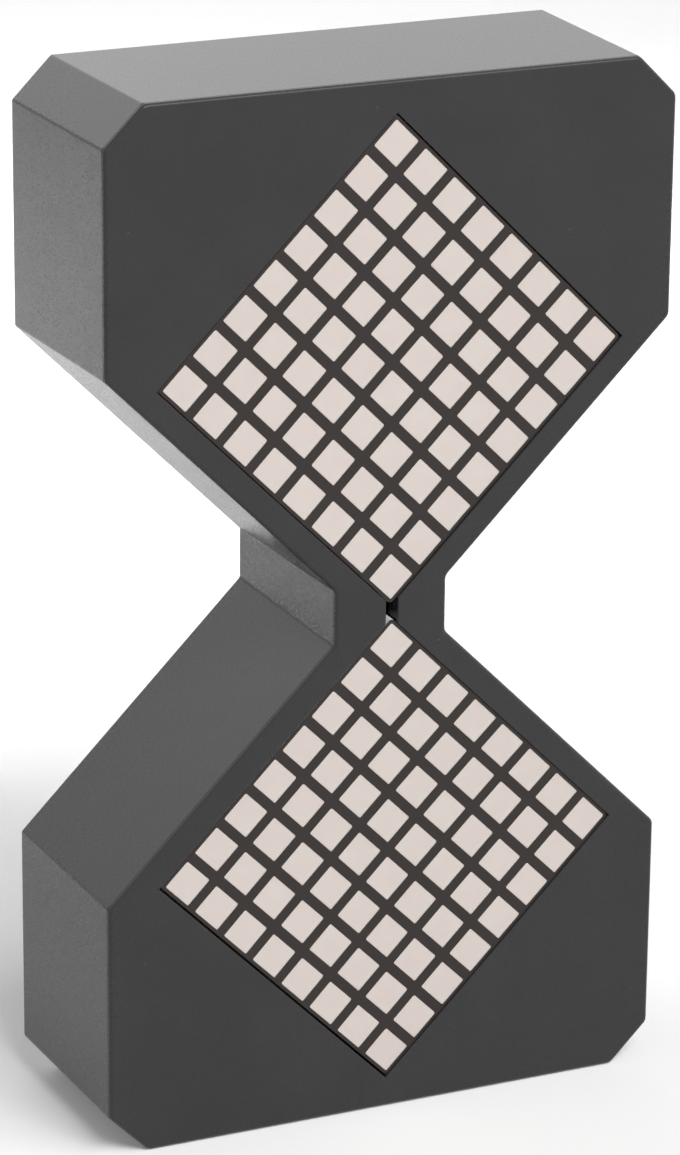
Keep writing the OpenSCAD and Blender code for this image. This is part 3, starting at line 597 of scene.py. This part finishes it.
# Aluminium pouch foil: bright and faintly creased.
pouch_foil = finish("aluminium_pouch_foil", ("#bcc2c8", "#c9ced4"), patch_mm=3.0, grain_mm=0.9,
                    relief_mm=0.04, roughness=0.38, Metallic=1.0)
# Closed-cell foam: black, soft and pitted, with no gloss.
foam = finish("black_closed_cell_foam", ("#161616", "#1e1e1e"), patch_mm=0.8, grain_mm=0.3,
              relief_mm=0.05, roughness=0.85, IOR=1.45)
# Extruded silicone of the leads: smooth, with a dull sheen.
lead_skin = finish("extruded_lead_silicone", ("#a8211a", "#b3261e"), patch_mm=1.5, grain_mm=0.15,
                   relief_mm=0.004, roughness=0.4, IOR=1.42)
tree = lead_skin.node_tree
spot = add_node(tree, "ShaderNodeTexCoord").outputs["Object"]
axes = add_node(tree, "ShaderNodeSeparateXYZ", links={"Vector": spot})
negative = add_node(tree, "ShaderNodeMath", {1: 0.0}, {0: axes.outputs["X"]}, operation="LESS_THAN")
overlay(lead_skin, negative.outputs["Value"], "#1a1a1c")
dress(pouch_foil, "battery")
dress(foam, "battery_pad")
dress(lead_skin, "battery_leads")
dress(cream_nylon, "battery_plug", "battery_header")

# Back cover
# A flat moulding of the same charcoal ABS that drops into the mouth of the housing, flush with its rim.
# It has four screw seats, a finger dish with a slot for the switch, and holes for button, port and sound.
# Four standoffs on its inner side carry the control board.
switch_place = middle_of("switch_body")
button_place = middle_of("button_cap")
port_place = middle_of("port_shell")
buzzer_place = middle_of("buzzer")
port_low, port_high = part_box("port_shell")
port_length = (port_high.x - port_low.x) / MM
port_height = (port_high.z - port_low.z) / MM
cover_gap = 0.15
cover_edge = 0.2
hole_edge = 0.1
button_hole_radius = 3.2
port_gap = 0.2
sound_radius = 0.5
sound_spacing = 2.0
sound_ring_count = 6
sound_steps = 24
screw_seat_radius = 2.2
screw_seat_depth = 1.25
screw_hole_radius = 1.3
dish_length = 11.0
dish_width = 5.6
dish_profile = [(0.15, 0.0), (0.0, 0.1), (-0.25, 0.55), (-0.6, 0.86), (-1.1, 1.0)]
knob_slot = (5.0, 2.4)
standoff_radius = 2.3
standoff_bore_radius = 0.95
standoff_bore_depth = 3.2
control_screw_inset = 2.5


def stadium(at, length, width, steps=16):
    """Clockwise outline of a slot with round ends."""
    points = []
    for end, first in ((1, 90), (-1, 270)):
        centre = at + Vector((end * (length - width) / 2, 0))
        for k in range(steps + 1):
            turn = math.radians(first - 180 * k / steps)
            points.append(centre + Vector((math.cos(turn), math.sin(turn))) * width / 2)
    return points


def oblong(at, length, width):
    """Clockwise outline of a slot with square ends."""
    corners = ((1, 1), (1, -1), (-1, -1), (-1, 1))
    return [at + Vector((x * length / 2, y * width / 2)) for x, y in corners]


def pierce(mesh, outlines):
    """Wall of a hole through pairs of outline and depth; gives the loops at its two ends."""
    loops = [loop(mesh, outline, depth) for outline, depth in outlines]
    skin(mesh, loops)
    return loops[0], loops[-1]


cover = bmesh.new()
cover_inset = mouth_wall + cover_gap
cover_loops = [loop(cover, case_outline(back_growth, cover_inset + inset), case_depth - depth)
               for inset, depth in quarter_round(cover_edge)]
cover_loops.append(loop(cover, case_outline(back_growth, cover_inset), cover_front))
skin(cover, cover_loops)
hole_steps = [(hole_edge, case_depth), (0.0, case_depth - hole_edge), (0.0, cover_front)]
seat_back = case_depth - screw_seat_depth
seat_steps = [(screw_seat_radius + hole_edge, case_depth), (screw_seat_radius, case_depth - hole_edge),
              (screw_seat_radius, seat_back), (screw_hole_radius, seat_back),
              (screw_hole_radius, cover_front)]
sound_ring = circle(*buzzer_place, sound_spacing, sound_ring_count)
button_hole = [(circle(*button_place, button_hole_radius + wider), depth) for wider, depth in hole_steps]
port_room = [(2 * (port_gap + wider), depth) for wider, depth in hole_steps]
port_hole = [(stadium(port_place, port_length + room, port_height + room), depth)
             for room, depth in port_room]
holes = [pierce(cover, button_hole), pierce(cover, port_hole)]
for at in [buzzer_place] + sound_ring:
    holes.append(pierce(cover, [(circle(*at, sound_radius + wider, sound_steps), depth)
                                for wider, depth in hole_steps]))
for at in cover_screw_places:
    holes.append(pierce(cover, [(circle(*at, radius), depth) for radius, depth in seat_steps]))
dish_loops = [loop(cover, stadium(switch_place, dish_length + 2 * wider, dish_width + 2 * wider),
                   case_depth - depth) for wider, depth in dish_profile]
slot_loops = [loop(cover, oblong(switch_place, *knob_slot), depth)
              for depth in (case_depth - dish_profile[-1][1], cover_front)]
skin(cover, dish_loops)
skin(cover, slot_loops)
flat(cover, dish_loops[-1], slot_loops[0])
flat(cover, cover_loops[0], dish_loops[0], *[rim for rim, foot in holes])
flat(cover, cover_loops[-1], slot_loops[-1], *[foot for rim, foot in holes])
control_low, control_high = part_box("control_board")
control_back = depth_of(control_high.y)
standoff_x = (control_high.x - control_low.x) / MM / 2 - control_screw_inset
standoff_rise = (control_high.z - control_low.z) / MM / 2 - control_screw_inset
for side, end in ends:
    at = middle_of("control_board") + Vector((side * standoff_x, end * standoff_rise))
    boss(cover, at, standoff_radius, standoff_bore_radius, cover_front, control_back,
         control_back + standoff_bore_depth)
piece("back_moulding", cover, [charcoal_abs], "case", "case_plastic", "back_cover")

# Cover screws
# Four zinc-plated pan-head screws with tapered cross recesses hold the back cover to the housing's bosses.
# Their heads lie just below the face of the cover.
head_radius = 2.0
head_height = 1.1
head_recess = 0.15
head_edge = 0.35
shank_radius = 1.1
shank_grip = 7.0
tip_radius = 0.4
tip_length = 0.6
cross_reach = 1.15
cross_half = 0.32
cross_steps = [(1.0, 0.0), (0.88, 0.5), (0.5, 0.95)]
head_back = case_depth - head_recess
head_front = head_back - head_height
shank_end = cover_front - shank_grip
quarter = [(cross_half, cross_reach), (cross_half, cross_half), (cross_reach, cross_half)]
cross = [Matrix.Rotation(math.radians(-90 * k), 2) @ Vector(p) for k in range(4) for p in quarter]
head_steps = [(head_radius - inset, head_back - depth) for inset, depth in quarter_round(head_edge)]
head_steps += [(head_radius, head_front), (shank_radius, head_front), (shank_radius, shank_end + tip_length),
               (tip_radius, shank_end)]
screws = bmesh.new()
for at in cover_screw_places:
    head = [loop(screws, circle(*at, radius), depth) for radius, depth in head_steps]
    recess = [loop(screws, [at + point * share for point in cross], head_back - depth)
              for share, depth in cross_steps]
    skin(screws, head)
    flat(screws, head[-1])
    skin(screws, recess)
    flat(screws, recess[-1])
    flat(screws, head[0], recess[0])
piece("cover_screw_set", screws, [zinc_plate], "case", "screw_steel", "cover_screws")

# Charging port
# A seamless drawn shell of nickel-plated steel with a rolled lip, recessed a little behind the cover.
# A black nylon tongue with flush contacts stands in its middle.
port_wall = 0.3
lip_round = 0.1
lip_steps = 6
contact_pitch = 0.5
contact_width = 0.28
contact_setback = 0.4
broad_facing = 0.5
# Nickel plate on drawn steel: a neutral grey metal with a clear shine.
nickel = finish("nickel_plated_steel", ("#b4b6b8", "#bfc1c3"), patch_mm=1.0, grain_mm=0.1,
                relief_mm=0.003, roughness=0.28, Metallic=1.0)
port_mouth = depth_of(port_high.y)
port_front = depth_of(port_low.y)
lip_turns = [math.pi * k / lip_steps for k in range(lip_steps + 1)]
lip = [(port_wall * (1 - math.cos(t)), port_mouth - lip_round * (1 - math.sin(t))) for t in lip_turns]
port_steps = [(0.0, port_front)] + lip + [(2 * port_wall, port_front)]
port = bmesh.new()
port_loops = [loop(port, stadium(port_place, port_length - drawn_in, port_height - drawn_in), depth)
              for drawn_in, depth in port_steps]
skin(port, port_loops + port_loops[:1])
piece("port_sleeve", port, [nickel], "case", "port_steel", "port_shell")
# Glass-filled nylon of the tongue: black and matt, with gold-plated contacts along both of its broad faces.
tongue_nylon = finish("black_glass_filled_nylon", ("#1a1a1b", "#202021"), patch_mm=1.0, grain_mm=0.12,
                      relief_mm=0.005, roughness=0.5, IOR=1.53)
contact_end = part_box("port_tongue")[1].y - contact_setback * MM
tree = tongue_nylon.node_tree
spot = add_node(tree, "ShaderNodeTexCoord").outputs["Object"]
axes = add_node(tree, "ShaderNodeSeparateXYZ", links={"Vector": spot})
normal = add_node(tree, "ShaderNodeNewGeometry").outputs["Normal"]
facing = add_node(tree, "ShaderNodeSeparateXYZ", links={"Vector": normal})
upright = add_node(tree, "ShaderNodeMath", links={0: facing.outputs["Z"]}, operation="ABSOLUTE")
broad = add_node(tree, "ShaderNodeMath", {1: broad_facing}, {0: upright.outputs["Value"]},
                 operation="GREATER_THAN")
short = add_node(tree, "ShaderNodeMath", {1: contact_end}, {0: axes.outputs["Y"]}, operation="LESS_THAN")
bare = add_node(tree, "ShaderNodeMath", links={0: broad.outputs["Value"], 1: short.outputs["Value"]},
                operation="MULTIPLY")
contacts = add_node(tree, "ShaderNodeMath", links={
    0: bare.outputs["Value"], 1: stripes(tree, "X", contact_pitch, contact_width)}, operation="MULTIPLY")
overlay(tongue_nylon, contacts.outputs["Value"], "#c79f4b", metal=True)
dress(tongue_nylon, "port_tongue")

# Power switch
# A slide switch in a folded steel can on the control board, with a ribbed black knob.
# The knob stands in the slot of the cover's dish and slides sideways.
knob_low, knob_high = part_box("switch_knob")
knob_place = middle_of("switch_knob")
knob_half = (knob_high.x - knob_low.x) / MM / 2
knob_side = (knob_high.z - knob_low.z) / MM / 2
knob_back = depth_of(knob_high.y)
knob_front = depth_of(knob_low.y)
knob_edge = 0.12
groove_count = 3
groove_depth = 0.3
groove_pitch = 2 * knob_half / (groove_count + 1)
# Tin-dipped sheet steel with painted shade: its colour is darkened for the shade of the deep slot it sits in,
# so it is darker and softer than the pins.
shade_darkened_tin_sheet = finish("shade_darkened_tinned_sheet_steel", ("#6f7173", "#7a7c7e"), patch_mm=1.0, grain_mm=0.1,
                      relief_mm=0.003, roughness=0.5, Metallic=1.0)
dress(shade_darkened_tin_sheet, "switch_body")
groove = [(-groove_pitch / 4, 0.0), (-groove_pitch / 8, groove_depth), (groove_pitch / 8, groove_depth),
          (groove_pitch / 4, 0.0)]
ridges = [(-knob_half, 0.0)]
for k in range(groove_count):
    groove_middle = (k - (groove_count - 1) / 2) * groove_pitch
    ridges += [(groove_middle + x, drop) for x, drop in groove]
ridges.append((knob_half, 0.0))
knob = bmesh.new()
knob_loops = []
for up, lower in ((-knob_side, knob_edge), (knob_edge - knob_side, 0.0),
                  (knob_side - knob_edge, 0.0), (knob_side, knob_edge)):
    profile = [(-knob_half, knob_front)] + [(x, knob_back - max(drop, lower)) for x, drop in ridges]
    profile.append((knob_half, knob_front))
    points = [place(knob_place.x + x, knob_place.y + up, depth) for x, depth in profile]
    knob_loops.append([knob.verts.new(point) for point in points])
skin(knob, knob_loops)
flat(knob, knob_loops[0])
flat(knob, knob_loops[-1])
piece("knob_moulding", knob, [black_abs], "power_knob", "black_plastic", "switch_knob")

# Set button
# A black moulded cap with a hollow for the fingertip; its flange stays behind the cover.
# A nylon plunger carries it on a small switch on the control board.
cap_low, cap_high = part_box("button_cap")
cap_front = depth_of(cap_low.y)
cap_back = depth_of(cap_high.y)
flange_radius = (cap_high.x - cap_low.x) / MM / 2
flange_thick = 0.8
cap_radius = 3.0
cap_edge = 0.3
hollow_depth = 0.26
hollow_rings = (0.85, 0.6, 0.3)
hollow_radius = cap_radius - cap_edge
cap_steps = [(flange_radius, cap_front), (flange_radius, cap_front + flange_thick),
             (cap_radius, cap_front + flange_thick)]
cap_steps += [(cap_radius - inset, cap_back - depth) for inset, depth in reversed(quarter_round(cap_edge))]
cap_steps += [(hollow_radius * share, cap_back - hollow_depth * (1 - share ** 2)) for share in hollow_rings]
cap = bmesh.new()
cap_loops = [loop(cap, circle(*button_place, radius), depth) for radius, depth in cap_steps]
skin(cap, cap_loops)
flat(cap, cap_loops[0])
flat(cap, cap_loops[-1])
piece("cap_moulding", cap, [black_abs], "set_button", "black_plastic", "button_cap")
dress(black_abs, "button_switch")
dress(cream_nylon, "button_plunger")

# Floor, light and camera
# A plain white table in a white studio, which the camera and the gloss see a little brighter than its paper.
# A wide lamp stands far in front and a smaller key lamp above on the right.
# Low panels behind give the top and the left side their sheen and keep the table pale.
white = linear("#ffffff")
table_size = 8
table_lift = 0.1
table_drop = 0.05
fade_start = 0.6
fade_end = 1.4


def seen_at_all(tree):
    """Share of 1 for what the camera sees, also in gloss or through glass, and 0 for other light."""
    path = add_node(tree, "ShaderNodeLightPath")
    mirrored = add_node(tree, "ShaderNodeMath", links={
        0: path.outputs["Is Camera Ray"], 1: path.outputs["Is Glossy Ray"]}, operation="ADD")
    seen = add_node(tree, "ShaderNodeMath", links={
        0: mirrored.outputs["Value"], 1: path.outputs["Is Transmission Ray"]},
        operation="ADD", use_clamp=True)
    return seen.outputs["Value"]


# White paper: plain and matt, a little brighter to the camera, and fading to pure white far off.
table_material = bpy.data.materials.new("white_paper")
table_material.use_nodes = True
tree = table_material.node_tree
tree.nodes.clear()
strength = add_node(tree, "ShaderNodeMath", {1: table_lift}, {0: seen_at_all(tree)}, operation="MULTIPLY")
glow = add_node(tree, "ShaderNodeEmission", {"Color": white}, {"Strength": strength.outputs["Value"]})
paper = add_node(tree, "ShaderNodeBsdfDiffuse", {"Color": linear("#f2f2f2")})
both = add_node(tree, "ShaderNodeAddShader", links={0: paper.outputs["BSDF"], 1: glow.outputs["Emission"]})
spot = add_node(tree, "ShaderNodeTexCoord").outputs["Object"]
distance = add_node(tree, "ShaderNodeVectorMath", links={0: spot}, operation="LENGTH")
fade = add_node(tree, "ShaderNodeMapRange", {"From Min": fade_start, "From Max": fade_end},
                {"Value": distance.outputs["Value"]}, interpolation_type="SMOOTHSTEP")
far = add_node(tree, "ShaderNodeMath", links={0: fade.outputs["Result"], 1: seen_at_all(tree)},
               operation="MULTIPLY")
blank = add_node(tree, "ShaderNodeEmission", {"Color": white, "Strength": 1.0})
cove = add_node(tree, "ShaderNodeMixShader", links={
    "Fac": far.outputs["Value"], 1: both.outputs["Shader"], 2: blank.outputs["Emission"]})
add_node(tree, "ShaderNodeOutputMaterial", links={"Surface": cove.outputs["Shader"]})
bpy.ops.mesh.primitive_plane_add(size=table_size, location=(0, 0, -table_drop * MM))
table = bpy.context.object
table.name = "table"
table.data.materials.append(table_material)

# The room dims toward the ceiling and toward the front, and the camera and the gloss see it white
room_level = 0.52
ceiling_level = 0.13
ceiling_start = 0.5
ceiling_full = 0.8
front_level = 0.234
front_start = 0.0
front_full = -0.5
world =bpy.data.worlds.new("studio")
bpy.context.scene.world = world
world.use_nodes = True
tree = world.node_tree
tree.nodes.clear()
direction = add_node(tree, "ShaderNodeTexCoord").outputs["Generated"]
axes = add_node(tree, "ShaderNodeSeparateXYZ", links={"Vector": direction})
upward = add_node(tree, "ShaderNodeMapRange", {
    "From Min": ceiling_start, "From Max": ceiling_full, "To Min": room_level, "To Max": ceiling_level},
    {"Value": axes.outputs["Z"]})
forward = add_node(tree, "ShaderNodeMapRange", {
    "From Min": front_start, "From Max": front_full, "To Min": room_level, "To Max": front_level},
    {"Value": axes.outputs["Y"]})
level = add_node(tree, "ShaderNodeMath", links={
    0: upward.outputs["Result"], 1: forward.outputs["Result"]}, operation="MINIMUM")
room = add_node(tree, "ShaderNodeBackground", {"Color": white}, {"Strength": level.outputs["Value"]})
backdrop = add_node(tree, "ShaderNodeBackground", {"Color": white, "Strength": 1.0})
studio = add_node(tree, "ShaderNodeMixShader", links={
    "Fac": seen_at_all(tree), 1: room.outputs["Background"], 2: backdrop.outputs["Background"]})
add_node(tree, "ShaderNodeOutputWorld", links={"Surface": studio.outputs["Shader"]})

# Place, point aimed at and size of each lamp in metres, its spread in degrees and its radiance
soft_lamps = {
    "key": ((0.40, -0.45, 0.80), (0, 0, 0.05), (0.4, 0.3), 180, 6.36),
    "front": ((0.18, -2.10, 2.30), (0, 0, 0.05), (1.6, 1.2), 180, 11.1),
    "back_right": ((0.50, 0.95, 0.42), (0, 0, 0.05), (0.8, 0.6), 180, 0.43),
    "near_left": ((-0.25, 0.36, 0.42), (0, 0, 0.25), (0.4, 0.4), 180, 0.80),
    "table_behind": ((0.0, 0.55, 0.40), (0, 0.4, 0), (0.5, 0.3), 180, 0.77),
    "above_table": ((-0.05, 0.25, 0.95), (-0.05, 0.24, 0), (0.40, 0.12), 24, 1.95),
}
for name, (at, target, size, spread, radiance) in soft_lamps.items():
    lamp = bpy.data.lights.new(name, "AREA")
    lamp.shape = "RECTANGLE"
    lamp.size, lamp.size_y = size
    lamp.energy = radiance * math.pi * size[0] * size[1]
    lamp.spread = math.radians(spread)
    stand = bpy.data.objects.new(name, lamp)
    bpy.context.scene.collection.objects.link(stand)
    stand.location = at
    stand.rotation_euler = (Vector(target) - Vector(at)).to_track_quat("-Z", "Y").to_euler()

viewpoint = Vector((-174.79, -379.62, 193.26)) * MM
aim = Vector((-5.07, -10.225, 52.42)) * MM
roll = math.radians(0.55)
camera_data = bpy.data.cameras.new("camera")
camera_data.sensor_width = 36
camera_data.lens = 151.46
camera_data.clip_start = 0.01
camera = bpy.data.objects.new("camera", camera_data)
bpy.context.scene.collection.objects.link(camera)
camera.location = viewpoint
look = (aim - viewpoint).to_track_quat("-Z", "Y").to_matrix()
camera.rotation_euler = (look @ Matrix.Rotation(roll, 3, "Z")).to_euler()
bpy.context.scene.camera = camera
bpy.context.scene.view_settings.view_transform = "Standard"
